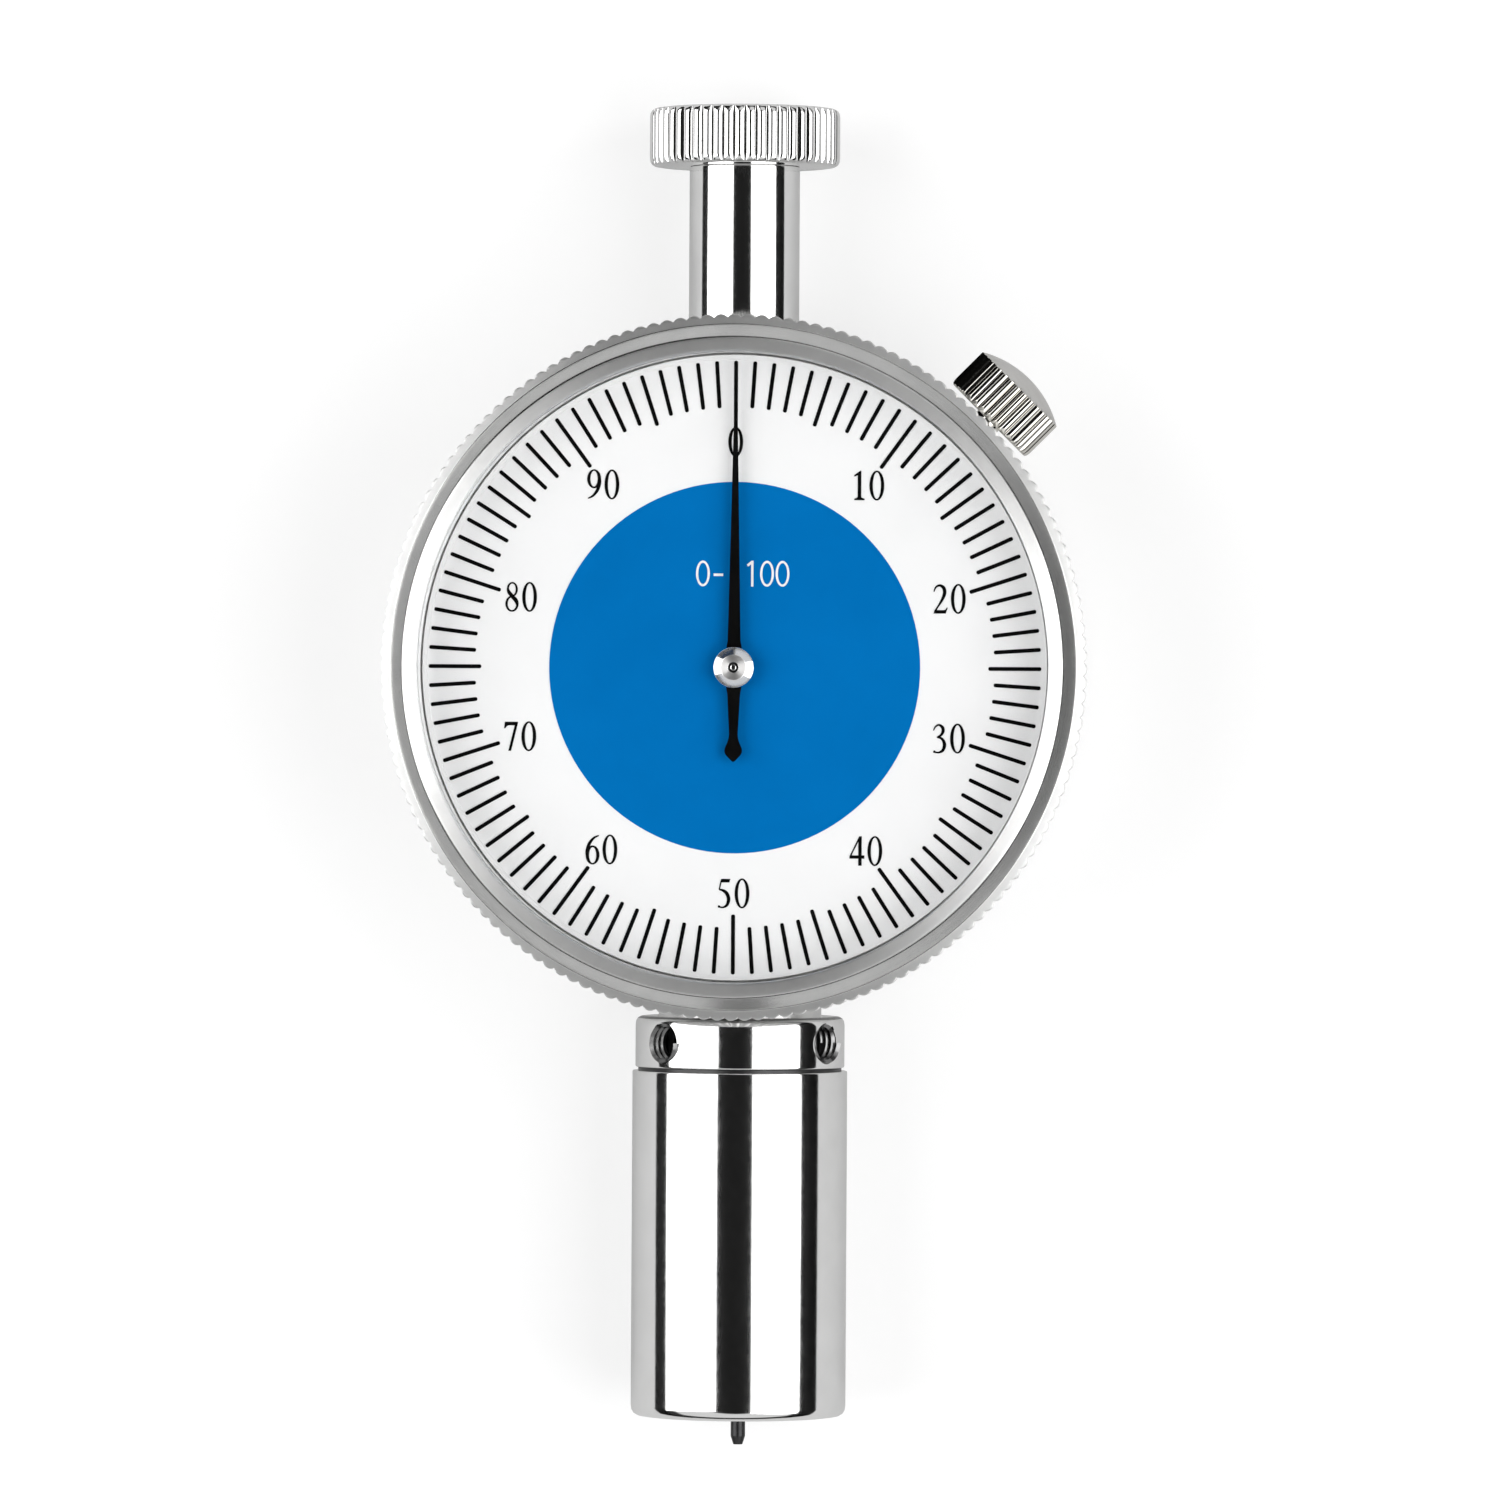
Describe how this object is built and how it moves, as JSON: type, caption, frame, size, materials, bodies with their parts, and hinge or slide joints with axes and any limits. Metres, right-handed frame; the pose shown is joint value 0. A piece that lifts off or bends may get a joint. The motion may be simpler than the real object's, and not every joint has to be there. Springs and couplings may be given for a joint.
{
  "type": "dial durometer",
  "caption": "Hand-held dial hardness gauge with a ridged turning bezel, a bright presser foot with a sprung indentor, a handle knob and a bezel lock.",
  "frame": {"origin": "middle of the back cover's outer face, on the dial's axis", "axes": "+Y along the spindle towards the handle knob, +Z out of the dial, +X right across the dial"},
  "size_m": [0.06, 0.115, 0.025],
  "materials": {
    "satin_metal": "satin plated, fine turned grain",
    "bright_metal": "polished bright plating",
    "steel": "plain machined steel",
    "dark_steel": "hardened, dark",
    "brass": "machined brass",
    "dial_white": "matt white print ground",
    "dial_blue": "matt blue print",
    "dial_black": "matt black print and paint",
    "clear_window": "clear polished acrylic"
  },
  "bodies": {
    "case": {"case_body": "satin_metal", "back_cover": "satin_metal", "handle_stem": "bright_metal", "handle_knob": "bright_metal", "barrel_neck": "bright_metal", "lock_collar": "bright_metal", "presser_foot": "bright_metal", "cover_screws": "steel", "bezel_wire": "steel", "grub_screws": "steel", "load_spring": "steel", "bridge_screws": "steel", "rear_screws": "steel", "hairspring": "steel", "stem_bush": "brass", "neck_bush": "brass", "hairspring_stud": "brass", "front_bridge": "brass", "bridge_posts": "brass", "bridge_bushes": "brass", "web_bushes": "brass", "rear_bridge": "brass", "rear_posts": "brass", "rear_bush": "brass"},
    "bezel": {"bezel": "satin_metal", "window": "clear_window", "dial": "dial_white", "dial_ring": "dial_white", "dial_field": "dial_blue", "dial_marks": "dial_black"},
    "spindle": {"spindle": "steel", "indentor": "dark_steel", "guide_pin": "steel"},
    "first_arbor": {"rack_pinion": "steel", "first_wheel": "brass"},
    "pointer": {"pointer_arbor": "steel", "pointer_hub": "bright_metal", "pointer": "dial_black"},
    "takeup": {"takeup_arbor": "steel", "takeup_wheel": "brass"},
    "lock_shoe": {"lock_shoe": "brass"},
    "lock_knob": {"lock_knob": "bright_metal"}
  },
  "joints": [
    {"name": "indentor_travel", "type": "slide", "parent": "case", "child": "spindle", "axis": [0, 1, 0], "range_m": [0, 0.0025], "stiffness_N_per_m": 3000, "springref_m": -0.00018, "deforming": ["load_spring"]},
    {"name": "first_arbor_turn", "type": "hinge", "parent": "case", "child": "first_arbor", "pos_m": [-0.00359, -0.00987, 0.0145], "axis": [0, 0, 1], "range_deg": [0, 60.01]},
    {"name": "pointer_turn", "type": "hinge", "parent": "case", "child": "pointer", "pos_m": [0, 0, 0.0175], "axis": [0, 0, -1], "range_deg": [0, 360.01]},
    {"name": "takeup_turn", "type": "hinge", "parent": "case", "child": "takeup", "pos_m": [0.00359, 0.00987, 0.0145], "axis": [0, 0, 1], "range_deg": [0, 60.01], "deforming": ["hairspring"]},
    {"name": "bezel_turn", "type": "hinge", "parent": "case", "child": "bezel", "pos_m": [0, 0, 0.02], "axis": [0, 0, 1], "continuous": true},
    {"name": "lock_shoe_slide", "type": "slide", "parent": "case", "child": "lock_shoe", "axis": [0.7071, 0.7071, 0], "range_m": [0, 0.00045]},
    {"name": "lock_turn", "type": "hinge", "parent": "lock_shoe", "child": "lock_knob", "pos_m": [0.02192, 0.02192, 0.0151], "axis": [0.7071, 0.7071, 0], "range_deg": [0, 360.01]}
  ],
  "couplings": [
    {"joint": "first_arbor_turn", "follows": "indentor_travel", "rad_per_m": 418.88},
    {"joint": "pointer_turn", "follows": "indentor_travel", "rad_per_m": 2513.3},
    {"joint": "takeup_turn", "follows": "indentor_travel", "rad_per_m": 418.88},
    {"joint": "lock_turn", "follows": "lock_shoe_slide", "rad_per_m": 13963}
  ]
}
